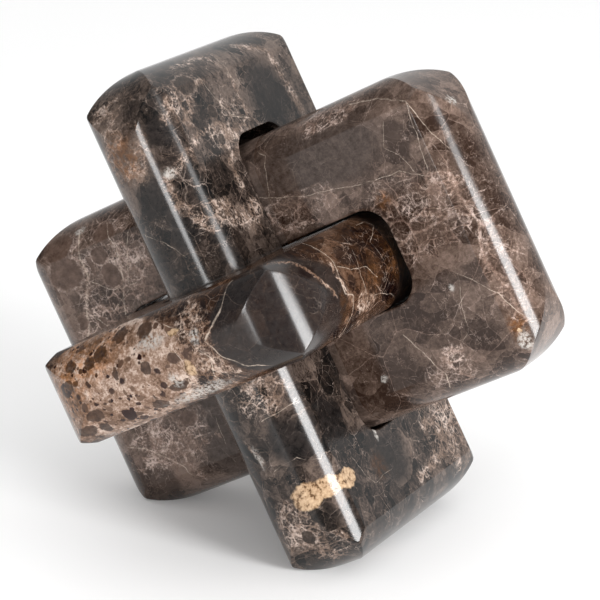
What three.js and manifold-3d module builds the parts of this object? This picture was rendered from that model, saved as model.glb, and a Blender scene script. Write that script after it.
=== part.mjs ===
import * as THREE from 'three';
import { mergeVertices } from 'three/addons/utils/BufferGeometryUtils.js';
import Module from 'manifold-3d';

// Marble paperweight made as an interlocking knot of three equal slabs.
// Each slab lies in its own plane, square to the other two, and has a slot through its middle.
// The closed slab passes through the gate slab's slot, the key slab passes through the closed
// slab's slot, and the gate slab passes through the key slab's slot, so each one locks the next.
// Millimetres, Z up. The knot leans on its lowest end and its lowest corner, as it rests on a desk.

// Slab, as cut and polished
const slabLength = 128;
const slabWidth = 76;
const slabThickness = 23.2;
const cornerRadius = 17.4;

// How far the bowed ends and the bowed long sides bulge out past the edge of the flat faces
const endRise = 7.9;
const sideRise = 7.3;

// Slot: room around the slab that passes through it, and its rounded corners
const slotLengthPlay = 2.6;
const slotThicknessPlay = 0.9;
const slotCornerRadius = 6.5;

// The slots are cut this far off the middle of their slabs
const slotShift = 0.9;

// Room around an arm in the hidden channel that it passes when the knot comes apart
const channelPlay = 1;

// Gap left where one slab rests on another
const seatGap = 0.3;

// Sizes that follow from the ones above
const slotLength = slabWidth + slotLengthPlay;
const slotThickness = slabThickness + slotThicknessPlay;
const armWidth = (slabWidth - slotThickness) / 2;
const channelWidth = Math.max(slotThickness, armWidth + channelPlay);
const overshoot = 2;

const wasm = await Module();
wasm.setup();

// Turns a closed three.js geometry into a solid that can be cut and joined.
function toSolid(geometry) {
  const bare = geometry.clone();
  bare.deleteAttribute('normal');
  bare.deleteAttribute('uv');
  const welded = mergeVertices(bare, 1e-5);
  const mesh = new wasm.Mesh({
    numProp: 3,
    vertProperties: Float32Array.from(welded.attributes.position.array),
    triVerts: Uint32Array.from(welded.index.array),
  });
  return new wasm.Manifold(mesh);
}

// Turns a solid back into a three.js geometry.
function toGeometry(solid) {
  const mesh = solid.getMesh();
  const geometry = new THREE.BufferGeometry();
  geometry.setAttribute('position', new THREE.BufferAttribute(mesh.vertProperties, 3));
  geometry.setIndex(new THREE.BufferAttribute(mesh.triVerts, 1));
  geometry.computeVertexNormals();
  return geometry;
}

// Extrudes a profile by depth, half to each side of its own plane.
function extrudeCentred(profile, depth, curveSegments) {
  const geometry = new THREE.ExtrudeGeometry(profile, {
    depth,
    bevelEnabled: false,
    curveSegments,
  });
  geometry.translate(0, 0, -depth / 2);
  return geometry;
}

// Rectangle with rounded corners, centred on the origin.
function roundedRectangle(length, width, radius) {
  const x = length / 2;
  const y = width / 2;
  const shape = new THREE.Shape();
  shape.moveTo(-x + radius, -y);
  shape.lineTo(x - radius, -y);
  shape.absarc(x - radius, -y + radius, radius, -Math.PI / 2, 0, false);
  shape.lineTo(x, y - radius);
  shape.absarc(x - radius, y - radius, radius, 0, Math.PI / 2, false);
  shape.lineTo(-x + radius, y);
  shape.absarc(-x + radius, y - radius, radius, Math.PI / 2, Math.PI, false);
  shape.lineTo(-x, -y + radius);
  shape.absarc(-x + radius, -y + radius, radius, Math.PI, Math.PI * 1.5, false);
  return shape;
}

// Radius of the arc that spans the slab's thickness and bulges by rise.
function bowRadius(rise) {
  const half = slabThickness / 2;
  return (half * half + rise * rise) / (2 * rise);
}

// Section of the slab across its thickness: two flat faces joined by a bowed arc at each end.
// The arcs meet the faces at an angle, which leaves the crisp crease around each big face.
function bowedSection(span, rise) {
  const radius = bowRadius(rise);
  const centre = span / 2 - radius;
  const reach = Math.asin(Math.min(1, slabThickness / 2 / radius));
  const shape = new THREE.Shape();
  shape.moveTo(-span / 2 + rise, -slabThickness / 2);
  shape.lineTo(span / 2 - rise, -slabThickness / 2);
  shape.absarc(centre, 0, radius, -reach, reach, false);
  shape.lineTo(-span / 2 + rise, slabThickness / 2);
  shape.absarc(-centre, 0, radius, Math.PI - reach, Math.PI + reach, false);
  return shape;
}

// A slab lies flat: length along X, width along Y, thickness along Z.
// It is what three extrusions have in common: the outline seen from above, the bowed section
// across its length and the bowed section across its width. Where the two bows run into a
// rounded corner, they leave the pointed lens that each corner of the real slabs shows.
function slab(shift, hasChannel) {
  const outline = extrudeCentred(
    roundedRectangle(slabLength, slabWidth, cornerRadius),
    slabThickness + overshoot,
    8,
  );

  const lengthwise = extrudeCentred(bowedSection(slabLength, endRise), slabWidth + overshoot, 12);
  lengthwise.rotateX(Math.PI / 2);

  const widthwise = extrudeCentred(bowedSection(slabWidth, sideRise), slabLength + overshoot, 12);
  widthwise.rotateX(Math.PI / 2);
  widthwise.rotateZ(Math.PI / 2);

  const blank = toSolid(outline).intersect(toSolid(lengthwise)).intersect(toSolid(widthwise));

  const slot = extrudeCentred(
    roundedRectangle(slotLength, slotThickness, slotCornerRadius),
    slabThickness + overshoot,
    5,
  );
  slot.translate(shift, 0, 0);
  const ring = blank.subtract(toSolid(slot));
  if (!hasChannel) {
    return toGeometry(ring);
  }

  // The channel runs from the slot out through one long side. It starts inside the slot.
  const channelLength = slabWidth / 2 + overshoot;
  const channel = new THREE.BoxGeometry(
    channelWidth,
    channelLength,
    slabThickness + overshoot,
  );
  channel.translate(0, -channelLength / 2, 0);
  return toGeometry(ring.subtract(toSolid(channel)));
}

// Where each slab sits in the knot, before the knot is leant over. The closed slab is at the
// middle. The play is taken up downhill: the key slab lies in the low left end of the closed
// slab's slot, and the closed slab lies on the low end of the gate slab's slot.
const keyAcross = -slotShift - slotLengthPlay / 2 + seatGap;
const keyUp = -slotThicknessPlay / 2 + seatGap;
const gateAcross = keyAcross + slotThicknessPlay / 2 - seatGap;
const gateUp = slotLengthPlay / 2 - seatGap - slotShift;
const gateBack = slotThicknessPlay / 5;
const keyBack = gateBack + slotLengthPlay / 2 - seatGap;

// The knot stands on two round edges, the gate slab's lower end and the closed slab's lower
// left corner. Seen from the front both are circles, and the desk is the line that touches
// them from below. Its lean is the angle of that common tangent.
const endRadius = bowRadius(endRise);
const endCentreX = gateAcross;
const endCentreZ = gateUp - slabLength / 2 + endRadius;
const cornerCentreX = -slabLength / 2 + cornerRadius;
const cornerCentreZ = -slabWidth / 2 + cornerRadius;
const stepX = cornerCentreX - endCentreX;
const stepZ = cornerCentreZ - endCentreZ;
const spacing = Math.hypot(stepX, stepZ);
const lean = Math.acos((cornerRadius - endRadius) / spacing) - Math.atan2(-stepX, stepZ);

const right = new THREE.Vector3(1, 0, 0);
const front = new THREE.Vector3(0, -1, 0);
const up = new THREE.Vector3(0, 0, 1);
const leanOver = new THREE.Matrix4().makeRotationY(-lean);

// Places a flat slab: the directions its length, its width and its thickness take in the knot.
function place(geometry, along, across, through, x, y, z) {
  const turn = new THREE.Matrix4().makeBasis(along, across, through);
  turn.setPosition(x, y, z);
  geometry.applyMatrix4(turn);
  geometry.applyMatrix4(leanOver);
  return geometry;
}

function slabMesh(name, geometry, color) {
  const material = new THREE.MeshStandardMaterial({
    name,
    color,
    roughness: 0.18,
    metalness: 0,
    flatShading: true,
  });
  const mesh = new THREE.Mesh(geometry, material);
  mesh.name = name;
  return mesh;
}

// The closed slab slopes up to the right and shows its big face at the front.
const closedSlab = slabMesh(
  'closed_slab',
  place(slab(-slotShift, false), right, up, front, 0, 0, 0),
  0x574640,
);

// The key slab points at the viewer. Its left arm is cut by the channel.
const keySlab = slabMesh(
  'key_slab',
  place(slab(0, true), front, right, up, keyAcross, keyBack, keyUp),
  0x5c483c,
);

// The gate slab stands up through the key slab. Its rear arm is cut by the channel.
const gateSlab = slabMesh(
  'gate_slab',
  place(slab(slotShift, true), up, front, right, gateAcross, gateBack, gateUp),
  0x47403b,
);

const paperweight = new THREE.Group();
paperweight.name = 'marble_paperweight';
paperweight.add(closedSlab, keySlab, gateSlab);

// Stand the knot on the desk with the middle of its footprint over the origin.
const bounds = new THREE.Box3().setFromObject(paperweight, true);
const middle = bounds.getCenter(new THREE.Vector3());
for (const mesh of paperweight.children) {
  mesh.geometry.translate(-middle.x, -middle.y, -bounds.min.z);
}

export default paperweight;
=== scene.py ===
# %% [markdown]
# # A knot of three marble slabs
#
# This notebook dresses a paperweight: three equal slabs of polished dark brown marble, each with
# a slot through its middle, locked into each other. The engineering model comes first. It says
# where each slab is and how it moves, and everything here is built around it, in metres.

# %% Load the frame
import math

import bpy
from mathutils import Matrix, Vector


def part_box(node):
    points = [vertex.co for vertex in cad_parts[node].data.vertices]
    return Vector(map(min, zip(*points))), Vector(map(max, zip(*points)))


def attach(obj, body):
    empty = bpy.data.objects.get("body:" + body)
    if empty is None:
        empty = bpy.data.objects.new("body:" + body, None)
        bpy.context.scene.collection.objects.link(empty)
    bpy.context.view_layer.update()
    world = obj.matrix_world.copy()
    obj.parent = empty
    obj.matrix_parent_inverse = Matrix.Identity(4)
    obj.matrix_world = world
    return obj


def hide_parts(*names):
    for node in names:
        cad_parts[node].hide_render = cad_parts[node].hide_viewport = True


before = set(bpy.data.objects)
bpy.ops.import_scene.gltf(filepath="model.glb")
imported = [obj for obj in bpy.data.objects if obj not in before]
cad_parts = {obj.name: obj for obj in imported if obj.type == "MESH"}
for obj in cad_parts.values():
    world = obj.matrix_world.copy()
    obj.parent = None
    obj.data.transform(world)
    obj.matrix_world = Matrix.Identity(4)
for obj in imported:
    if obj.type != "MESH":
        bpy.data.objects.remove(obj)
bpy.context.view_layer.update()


scene = bpy.context.scene

# %% [markdown]
# Both the shapes and the stone are written as formulas. In Blender a formula is a net of nodes,
# which is slow to write by hand, so one small class wraps a node's output and lets Python's own
# signs add the nodes: `1 - mask` makes a Math node. It works in a Geometry Nodes tree and in a
# material alike. Every other node comes from its method `node`, which sets the node's options
# first and then fills its sockets with numbers or with links. `beside` gives another output of
# the same node.

# %% A field: one output socket and the maths on it


def fill_ramp(ramp, stops):
    while len(ramp.elements) < len(stops):
        ramp.elements.new(1.0)
    for element, (place, color) in zip(ramp.elements, stops):
        element.position = place
        element.color = (*color, 1.0)


class Field:
    def __init__(self, tree, socket=None):
        self.tree = tree
        self.socket = socket

    def node(self, kind, settings=None, values=None, output=0):
        made = self.tree.nodes.new(kind)
        for name, value in (settings or {}).items():
            if name == "stops":
                fill_ramp(made.color_ramp, value)
            else:
                setattr(made, name, value)
        for key, value in (values or {}).items():
            socket = made.inputs[key]
            if isinstance(value, Field):
                self.tree.links.new(value.socket, socket)
            else:
                socket.default_value = value
        return Field(self.tree, made.outputs[output])

    def beside(self, output):
        return Field(self.tree, self.socket.node.outputs[output])

    def math(self, operation, *values):
        return self.node("ShaderNodeMath", {"operation": operation}, dict(enumerate(values)))

    def __add__(self, other):
        return self.math("ADD", self, other)

    def __sub__(self, other):
        return self.math("SUBTRACT", self, other)

    def __mul__(self, other):
        return self.math("MULTIPLY", self, other)

    def __truediv__(self, other):
        return self.math("DIVIDE", self, other)

    def __radd__(self, other):
        return self.math("ADD", other, self)

    def __rsub__(self, other):
        return self.math("SUBTRACT", other, self)

    def __rmul__(self, other):
        return self.math("MULTIPLY", other, self)

    def root(self):
        return self.math("SQRT", self.most(0.0))

    def clamp(self):
        return self.node("ShaderNodeClamp", values={0: self})


print("signs of a field: + - * /")

# %% [markdown]
# The other operations of the Math node get a plain word each. They are all made alike, so a loop
# adds them to the class: `height.above(3)` is a Math node that is set to Greater Than.

# %% Plain words for the Math node
MATH_WORDS = {
    "least": "MINIMUM",
    "most": "MAXIMUM",
    "above": "GREATER_THAN",
    "there_and_back": "PINGPONG",
    "sign": "SIGN",
    "absolute": "ABSOLUTE",
    "sine": "SINE",
    "cosine": "COSINE",
    "arcsine": "ARCSINE",
    "arccosine": "ARCCOSINE",
}


def math_word(operation):
    return lambda field, *others: field.math(operation, field, *others)


for word, operation in MATH_WORDS.items():
    setattr(Field, word, math_word(operation))
print("words of a field:", ", ".join(MATH_WORDS))

# %% [markdown]
# ## The shape of a slab
#
# The slabs are cut from one drawing, so one Geometry Nodes tree makes all three. A slab with a
# slot is a ring, and its surface is a sheet that wraps round the slot like a tyre. The tree takes
# a flat grid and computes where each of its points lies: its columns run round the slot and its
# rows run from the slot's wall over the face and down the bowed edge to the middle of the edge.
#
# A boolean of three extrusions would give the same form, but its crisp creases would stay sharp
# as a knife. On the real slabs the polish has broken every crease by less than a millimetre, and
# that thin round line is what catches the light. Here the crease is part of the formula, and its
# points lie exactly on the surface, so the reflections run clean along the edges.

# %% Sizes of the slab, in metres
MM = 0.001
SLAB = {
    "Length": 128 * MM,
    "Width": 76 * MM,
    "Thickness": 23.2 * MM,
    "Corner Radius": 17.4 * MM,
    "End Rise": 7.9 * MM,
    "Side Rise": 7.3 * MM,
    "Crease Radius": 0.8 * MM,
    "Slot Length": 78.6 * MM,
    "Slot Width": 24.1 * MM,
    "Slot Corner Radius": 6.5 * MM,
    "Slot Edge Radius": 0.35 * MM,
    "Slot Shift": 0.0,
    "Channel Width": 26.95 * MM,
}

# Columns in a quarter of the ring: half an end, a corner, half a long side
END_COLUMNS, CORNER_COLUMNS, SIDE_COLUMNS = 12, 30, 24
QUARTER = END_COLUMNS + CORNER_COLUMNS + SIDE_COLUMNS

# Rows from the slot's wall to the middle of the bowed edge
WALL_ROWS, RIM_ROWS, FACE_ROWS, CREASE_ROWS, BOW_ROWS = 5, 4, 12, 8, 26
ROWS = WALL_ROWS + RIM_ROWS + FACE_ROWS + CREASE_ROWS + BOW_ROWS
RIGHT_ANGLE = math.pi / 2
print("grid:", 4 * QUARTER, "columns by", 2 * ROWS, "rows")

# %% [markdown]
# The tree's first part finds the column and the row of each point, and how far the point has come
# along each stretch of its path. A stretch runs from 0 to 1 and then stays at 1, so that later
# stretches add to it. `there_and_back` counts up and down again, which mirrors one quarter of
# the ring into four and the upper half into the lower.

# %% The tree's inputs


def slab_tree():
    tree = bpy.data.node_groups.new("slab", "GeometryNodeTree")
    face = tree.interface
    face.new_socket("Geometry", in_out="INPUT", socket_type="NodeSocketGeometry")
    face.new_socket("Geometry", in_out="OUTPUT", socket_type="NodeSocketGeometry")
    for name, value in SLAB.items():
        socket = face.new_socket(name, in_out="INPUT", socket_type="NodeSocketFloat")
        socket.default_value = value
    face.new_socket("Has Channel", in_out="INPUT", socket_type="NodeSocketBool")
    face.new_socket("Stone", in_out="INPUT", socket_type="NodeSocketMaterial")
    inputs = tree.nodes.new("NodeGroupInput")
    fields = {socket.name: Field(tree, socket) for socket in inputs.outputs if socket.name}
    return tree, fields


print("a slab is drawn from", len(SLAB), "sizes")

# %% [markdown]
# The columns and rows are found from the flat grid's own points, which lie one apart. The signs
# say in which quarter of the ring a point is, and on which side of the slab.

# %% Where a point is on its way round and across
STRETCHES = {
    "wall": WALL_ROWS,
    "rim": RIM_ROWS,
    "face": FACE_ROWS,
    "crease": CREASE_ROWS,
    "bow": BOW_ROWS,
}


def stretch(place, start, count):
    return ((place - start) / count).clamp()


def grid_places(flat):
    xyz = flat.node("GeometryNodeInputPosition")
    x = flat.node("ShaderNodeSeparateXYZ", values={0: xyz})
    y = x.beside(1)
    column = x + 2.0 * QUARTER
    row = y + 1.0 * ROWS
    turn = column * (RIGHT_ANGLE / QUARTER)
    way = {
        "sign x": turn.cosine().sign(),
        "sign y": turn.sine().sign(),
        "sign z": (ROWS - row).sign(),
    }
    along = column.there_and_back(QUARTER)
    across = row.there_and_back(ROWS)
    way["end"] = stretch(along, 0, END_COLUMNS)
    way["corner"] = stretch(along, END_COLUMNS, CORNER_COLUMNS) * RIGHT_ANGLE
    way["side"] = stretch(along, END_COLUMNS + CORNER_COLUMNS, SIDE_COLUMNS)
    start = 0
    for name, count in STRETCHES.items():
        way[name] = stretch(across, start, count)
        start += count
    return way


print("rows in each stretch:", STRETCHES)

# %% [markdown]
# The bowed edge is an arc across the slab's thickness. It meets the flat face at an angle of
# about 22 degrees at the ends and 26 degrees along the sides, and a small arc that touches both
# rounds that crease. `bow_reach` gives the half length or half width of the slab at a height
# above its middle.

# %% The bowed edge


def bow_radius(half, rise):
    return (half * half + rise * rise) / (2.0 * rise)


def bow_reach(half_span, half, rise, crease, height):
    radius = bow_radius(half, rise)
    centre = half_span - radius
    low = half - crease
    inner = radius - crease
    meet = low * radius / inner
    crease_centre = centre + (inner * inner - low * low).root()
    over = height - low
    in_crease = height.above(meet)
    arc = centre + (radius * radius - height * height).root()
    small_arc = crease_centre + (crease * crease - over * over).root()
    return arc * (1.0 - in_crease) + small_arc * in_crease


half_thickness = SLAB["Thickness"] / 2
end_bow, side_bow = (bow_radius(half_thickness, SLAB[rise]) for rise in ("End Rise", "Side Rise"))
for name, bow in (("end", end_bow), ("side", side_bow)):
    slope = 90 - math.degrees(math.asin(half_thickness / bow))
    print(name, "bow: radius", round(bow / MM, 1), "mm, crease of", round(slope, 1), "degrees")

# %% [markdown]
# In a corner the outline is the round corner, cut off by the two bows. Where they cut all of it
# away, the two bows meet in one pointed edge: this is what gives each corner its lens. Each point
# belongs to one direction of the corner, and `corner_point` finds it: the outline is first drawn
# smaller by the crease radius, its point for that direction is found, and the radius is added
# back, which rounds the lens's edges too.

# %% The corner with its lens


def corner_point(reach_x, reach_y, centre_x, centre_y, radius, crease, angle):
    inner = radius - crease
    x_limit = reach_x - crease
    y_limit = reach_y - crease
    first = ((x_limit - centre_x) / inner).least(1.0).most(-1.0).arccosine()
    last = ((y_limit - centre_y) / inner).least(1.0).most(-1.0).arcsine()
    held = angle.most(first).least(first.most(last))
    x = (centre_x + inner * held.cosine()).least(x_limit) + crease * angle.cosine()
    y = (centre_y + inner * held.sine()).least(y_limit) + crease * angle.sine()
    return x, y


print("corner of", round(SLAB["Corner Radius"] / MM, 1), "mm, cut off by both bows")

# %% [markdown]
# The second part joins the stretches. The slot's outline is a rounded rectangle that widens a
# little at its rim, the outer outline follows the bows, and the face is the straight way between
# the two. The rows crowd towards the creases, so that the flat faces stay flat up to them.

# %% From the grid to the slab


def slab_points(size, way):
    half = size["Thickness"] * 0.5
    crease = size["Crease Radius"]
    rim = size["Slot Edge Radius"]
    low = half - crease
    side_radius = bow_radius(half, size["Side Rise"])
    last_angle = (low / (side_radius - crease)).arcsine()
    crease_angle = RIGHT_ANGLE - (RIGHT_ANGLE - last_angle) * way["crease"]
    crease_height = low + crease * crease_angle.sine()
    last_height = low + crease * last_angle.sine()
    bow_angle = (last_height / side_radius).arcsine()
    bow_turn = bow_angle * (way["bow"] * RIGHT_ANGLE).cosine()
    on_bow = way["bow"].above(0.0)
    outer_height = crease_height * (1.0 - on_bow) + side_radius * bow_turn.sine() * on_bow

    reach_x = bow_reach(size["Length"] * 0.5, half, size["End Rise"], crease, outer_height)
    reach_y = bow_reach(size["Width"] * 0.5, half, size["Side Rise"], crease, outer_height)
    radius = size["Corner Radius"]
    centre_x = size["Length"] * 0.5 - radius
    centre_y = size["Width"] * 0.5 - radius
    angle = way["corner"]
    outer_x, outer_y = corner_point(reach_x, reach_y, centre_x, centre_y, radius, crease, angle)

    rim_turn = way["rim"] * RIGHT_ANGLE
    slot_height = (half - rim) * (way["wall"] * RIGHT_ANGLE).sine() + rim * rim_turn.sine()
    round_slot = size["Slot Corner Radius"]
    grown = round_slot + rim * (1.0 - rim_turn.cosine())
    slot_x = size["Slot Length"] * 0.5 - round_slot + grown * angle.cosine()
    slot_y = size["Slot Width"] * 0.5 - round_slot + grown * angle.sine()

    out = 0.5 - 0.5 * (way["face"] * math.pi).cosine()
    before_middle = 1.0 - way["side"]
    x = (slot_x * (1.0 - out) + outer_x * out) * before_middle * way["sign x"]
    y = (slot_y * (1.0 - out) + outer_y * out) * way["end"] * way["sign y"]
    z = (slot_height + outer_height - half) * way["sign z"]
    return x + size["Slot Shift"] * (1.0 - out), y, z


print("the face takes", FACE_ROWS, "rows, crowded towards its edges")

# %% [markdown]
# The grid is bent into the slab's surface and closed where its edges meet.

# %% The surface of a slab
WELD_DISTANCE = 0.002 * MM


def slab_skin(flat, size):
    grid = flat.node(
        "GeometryNodeMeshGrid",
        values={
            "Size X": 4.0 * QUARTER,
            "Size Y": 2.0 * ROWS,
            "Vertices X": 4 * QUARTER + 1,
            "Vertices Y": 2 * ROWS + 1,
        },
    )
    x, y, z = slab_points(size, grid_places(flat))
    place = flat.node("ShaderNodeCombineXYZ", values={0: x, 1: y, 2: z})
    bent = flat.node("GeometryNodeSetPosition", values={"Geometry": grid, "Position": place})
    return flat.node(
        "GeometryNodeMergeByDistance", values={"Geometry": bent, "Distance": WELD_DISTANCE}
    )


print("points closer than", WELD_DISTANCE / MM, "mm are joined")

# %% [markdown]
# The hidden channel is a plain box that runs from the slot out through one long side. It can't be
# seen while the knot is together, and only two of the slabs have it, so a Switch node chooses.

# %% The hidden channel


def with_channel(flat, closed, size):
    reach = size["Width"]
    box_size = flat.node(
        "ShaderNodeCombineXYZ",
        values={0: size["Channel Width"], 1: reach, 2: size["Thickness"] * 2.0},
    )
    box = flat.node("GeometryNodeMeshCube", values={"Size": box_size})
    box_place = flat.node("ShaderNodeCombineXYZ", values={1: reach * -0.5})
    moved = flat.node("GeometryNodeSetPosition", values={"Geometry": box, "Offset": box_place})
    cut = flat.node(
        "GeometryNodeMeshBoolean",
        {"operation": "DIFFERENCE", "solver": "EXACT"},
        {0: closed, 1: moved},
    )
    return flat.node(
        "GeometryNodeSwitch",
        {"input_type": "GEOMETRY"},
        {"Switch": size["Has Channel"], "False": closed, "True": cut},
    )


print("channel:", round(SLAB["Channel Width"] / MM, 2), "mm wide")

# %% [markdown]
# The polish runs smoothly over the bows and creases, and only the channel's own sawn edges are
# sharp. The tree ends with the stone as its material.

# %% The whole tree
SHARP_ANGLE = math.radians(40)


def build_slab_tree():
    tree, size = slab_tree()
    flat = Field(tree)
    chosen = with_channel(flat, slab_skin(flat, size), size)
    smooth = flat.node(
        "GeometryNodeSetShadeSmooth",
        {"domain": "FACE"},
        {"Geometry": chosen, "Shade Smooth": True},
    )
    edge = flat.node("GeometryNodeInputMeshEdgeAngle")
    sharp = edge.above(SHARP_ANGLE)
    crisp = flat.node(
        "GeometryNodeSetShadeSmooth",
        {"domain": "EDGE"},
        {"Geometry": smooth, "Selection": sharp, "Shade Smooth": False},
    )
    real = flat.node("GeometryNodeRealizeInstances", values={"Geometry": crisp})
    stone = flat.node(
        "GeometryNodeSetMaterial", values={"Geometry": real, "Material": size["Stone"]}
    )
    output = tree.nodes.new("NodeGroupOutput")
    tree.links.new(stone.socket, output.inputs[0])
    return tree


slab_rule = build_slab_tree()
print("slab tree:", len(slab_rule.nodes), "nodes")

# %% [markdown]
# ## Where the slabs sit
#
# The places follow the engineering model: the same clearances, the same 0.3 mm seats and the same
# lean. The slabs have slid downhill in their slots, so the play is taken up at the low ends, and
# the gate slab stands a fifth of its sideways play further back. The lean is the common tangent of
# the two round edges that the knot stands on. Once a slab is made, its place is measured against
# the node that it stands for.

# %% Places of the three slabs
SEAT = 0.3 * MM
LENGTH_PLAY = SLAB["Slot Length"] - SLAB["Width"]
WIDTH_PLAY = SLAB["Slot Width"] - SLAB["Thickness"]
SHIFT = 0.9 * MM

key_x = -SHIFT - LENGTH_PLAY / 2 + SEAT
key_z = -WIDTH_PLAY / 2 + SEAT
gate_x = key_x + WIDTH_PLAY / 2 - SEAT
gate_z = LENGTH_PLAY / 2 - SEAT - SHIFT
gate_y = WIDTH_PLAY / 5
key_y = gate_y + LENGTH_PLAY / 2 - SEAT

corner_radius = SLAB["Corner Radius"]
step_x = corner_radius - SLAB["Length"] / 2 - gate_x
step_z = corner_radius - SLAB["Width"] / 2 - (gate_z - SLAB["Length"] / 2 + end_bow)
spacing = math.hypot(step_x, step_z)
lean = math.acos((corner_radius - end_bow) / spacing) - math.atan2(-step_x, step_z)
print("lean:", round(math.degrees(lean), 2), "degrees")

# %% [markdown]
# A slab has three directions of its own: along, across and through. Its place is a matrix that
# turns them to the knot's directions, puts the slab where it sits in the knot, and then leans the
# whole knot over. The last words say where its slot is shifted to, whether it has a channel, and
# which body it rides on.

# %% From the knot's own frame to the desk
closed_low, closed_high = (Vector(corner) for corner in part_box("closed_slab"))
knot_middle = (closed_low + closed_high) / 2
desk = Matrix.Translation(knot_middle) @ Matrix.Rotation(-lean, 4, "Y")

RIGHT, FRONT, UP = Vector((1, 0, 0)), Vector((0, -1, 0)), Vector((0, 0, 1))


def seat_of(along, across, through, x, y, z):
    turn = Matrix((along, across, through)).transposed().to_4x4()
    return desk @ Matrix.Translation((x, y, z)) @ turn


PLACES = {
    "closed_slab": (seat_of(RIGHT, UP, FRONT, 0, 0, 0), -SHIFT, False, "stand"),
    "key_slab": (seat_of(FRONT, RIGHT, UP, key_x, key_y, key_z), 0.0, True, "key"),
    "gate_slab": (seat_of(UP, FRONT, RIGHT, gate_x, gate_y, gate_z), SHIFT, True, "stand"),
}
print("knot's middle:", tuple(round(value, 5) for value in knot_middle))

# %% [markdown]
# ## The stone
#
# Dark marble of this kind is a limestone that broke into pieces long ago and healed: dark brown
# fragments, a web of thin pale veins where it healed, belts of small fragments in a tan ground,
# and clouds of fine tan lace. All of it runs through the whole slab, so the material reads a place
# inside the stone, in millimetres along, across and through the slab, and any cut shows it.

# %% Small words for the material


def vector(field, operation, *values):
    output = "Value" if operation in ("LENGTH", "DOT_PRODUCT", "DISTANCE") else "Vector"
    return field.node(
        "ShaderNodeVectorMath", {"operation": operation}, dict(enumerate(values)), output
    )


def ease(value, low, high, start=0.0, end=1.0):
    return value.node(
        "ShaderNodeMapRange",
        {"interpolation_type": "SMOOTHSTEP"},
        {"Value": value, "From Min": low, "From Max": high, "To Min": start, "To Max": end},
    )


def mix(share, under, over, blend="MIX"):
    under, over = ((*side, 1.0) if isinstance(side, tuple) else side for side in (under, over))
    settings = {"data_type": "RGBA", "blend_type": blend}
    return share.node("ShaderNodeMix", settings, {0: share, 6: under, 7: over}, 2)


def tint(value, *stops):
    return value.node("ShaderNodeValToRGB", {"stops": stops}, {0: value})


print("words of the material: vector, ease, mix, tint")

# %% [markdown]
# The colours below are written as the eye sees them on the lit stone, in the usual 0 to 255. The
# stone itself must be a little different: the light falls short of white by `GAIN`, and the polish
# lays a thin `VEIL` of reflected white over everything. The power of 2.4 is the usual curve
# between such levels and real light.

# %% Colours as they are seen
GAIN, VEIL = 0.9, 0.013
DARKEST = 0.002


def seen(*levels):
    linear = [((level / 255 + 0.055) / 1.055) ** 2.4 for level in levels]
    return tuple(max(DARKEST, (value - VEIL) / GAIN) for value in linear)


CREAM = seen(205, 188, 172)
HONEY = (seen(88, 68, 52), seen(154, 128, 102), seen(186, 161, 133))
# White fillings, and on the gate slab one small patch that is partly a painted glow of a highlight
FROST_AND_GLOW = seen(180, 175, 169)
RUST = seen(96, 67, 46)
print("cream as a colour of the stone:", [round(value, 3) for value in CREAM])

# %% [markdown]
# A slab lies askew in the knot, so its Object coordinates are first turned back to its own
# directions by a Mapping node. Two patterns do most of the work from there: `noise` is a cloud
# whose size is given in millimetres, and `stir` moves each place a little by such a cloud, which
# takes the machine-made look out of any pattern that is read at the stirred place.

# %% A place in the stone


def stone_place(tree, place):
    point = Field(tree).node("ShaderNodeTexCoord", output="Object")
    return point.node(
        "ShaderNodeMapping",
        {"vector_type": "TEXTURE"},
        {
            "Vector": point,
            "Location": place.to_translation(),
            "Rotation": place.to_euler(),
            "Scale": (MM, MM, MM),
        },
    )


def noise(place, size, detail, rough=0.55, output="Fac"):
    values = {"Vector": place, "Scale": 1.0 / size, "Detail": detail, "Roughness": rough}
    return place.node("ShaderNodeTexNoise", None, values, output)


def stir(place, size, reach, detail, rough):
    swirl = noise(place, size, detail, rough, "Color")
    away = vector(place, "SUBTRACT", swirl, (0.5, 0.5, 0.5))
    return vector(place, "MULTIPLY_ADD", away, (2 * reach, 2 * reach, 2 * reach), place)


print("1 in the stone is", MM, "m in the scene")

# %% [markdown]
# A Voronoi pattern breaks the stone into cells. For sharp fragments the distance to the cell's
# edge gives the crack between two of them. For rounded ones the distance to the cell's middle is
# compared with a radius that each cell draws for itself, so some are large and some are missing.

# %% Fragments and pebbles
# How much smaller a pebble is where the bed isn't crowded, as a share of its cell
CROWDING = 0.2


def cell(place, size, feature, output):
    values = {"Vector": place, "Scale": 1.0 / size}
    return place.node("ShaderNodeTexVoronoi", {"feature": feature}, values, output)


def chance(color, channel):
    return color.node("ShaderNodeSeparateColor", None, {0: color}, channel)


def fragments(cut, size):
    bent = stir(cut, size=0.8 * size, reach=0.1 * size + 0.45, detail=4.0, rough=0.55)
    tone = chance(cell(bent, size, "F1", "Color"), 0)
    return tone, cell(bent, size, "DISTANCE_TO_EDGE", "Distance") * size


def pebbles(cut, size, least, most, crowd):
    bent = stir(cut, size=0.7 * size, reach=0.24 * size, detail=3.0, rough=0.5)
    middle = cell(bent, size, "F1", "Distance")
    color = middle.beside("Color")
    own_radius = ease(chance(color, 0), 0.0, 1.0, start=least, end=most)
    radius = own_radius + CROWDING * crowd - CROWDING
    return ease(middle - radius, 0.03, -0.05), chance(color, 1)


print("cells: sharp fragments and round pebbles")

# %% [markdown]
# The stone is painted in layers. The ground is a cloudy noise, and each fragment adds its own
# shade to it. The seams between the fragments hold a pale grit. Most are thin and fade in and out,
# but in a belt they are thick.

# %% Ground, cracks and grit
# Size of the fragments in mm, and how clearly their cracks show outside a belt and inside one
CRACKS = ((19.0, 0.65, 0.8), (9.0, 0.5, 0.9), (4.2, 0.25, 0.85))

# How much the clouds, the grains, each size of fragments and a deep zone shade the ground
CLOUD_SHADE, GRAIN_SHADE, FRAGMENT_SHADES, DEEP_SHADE = 0.8, 1.1, (0.16, 0.34, 0.30), 0.15

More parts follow.
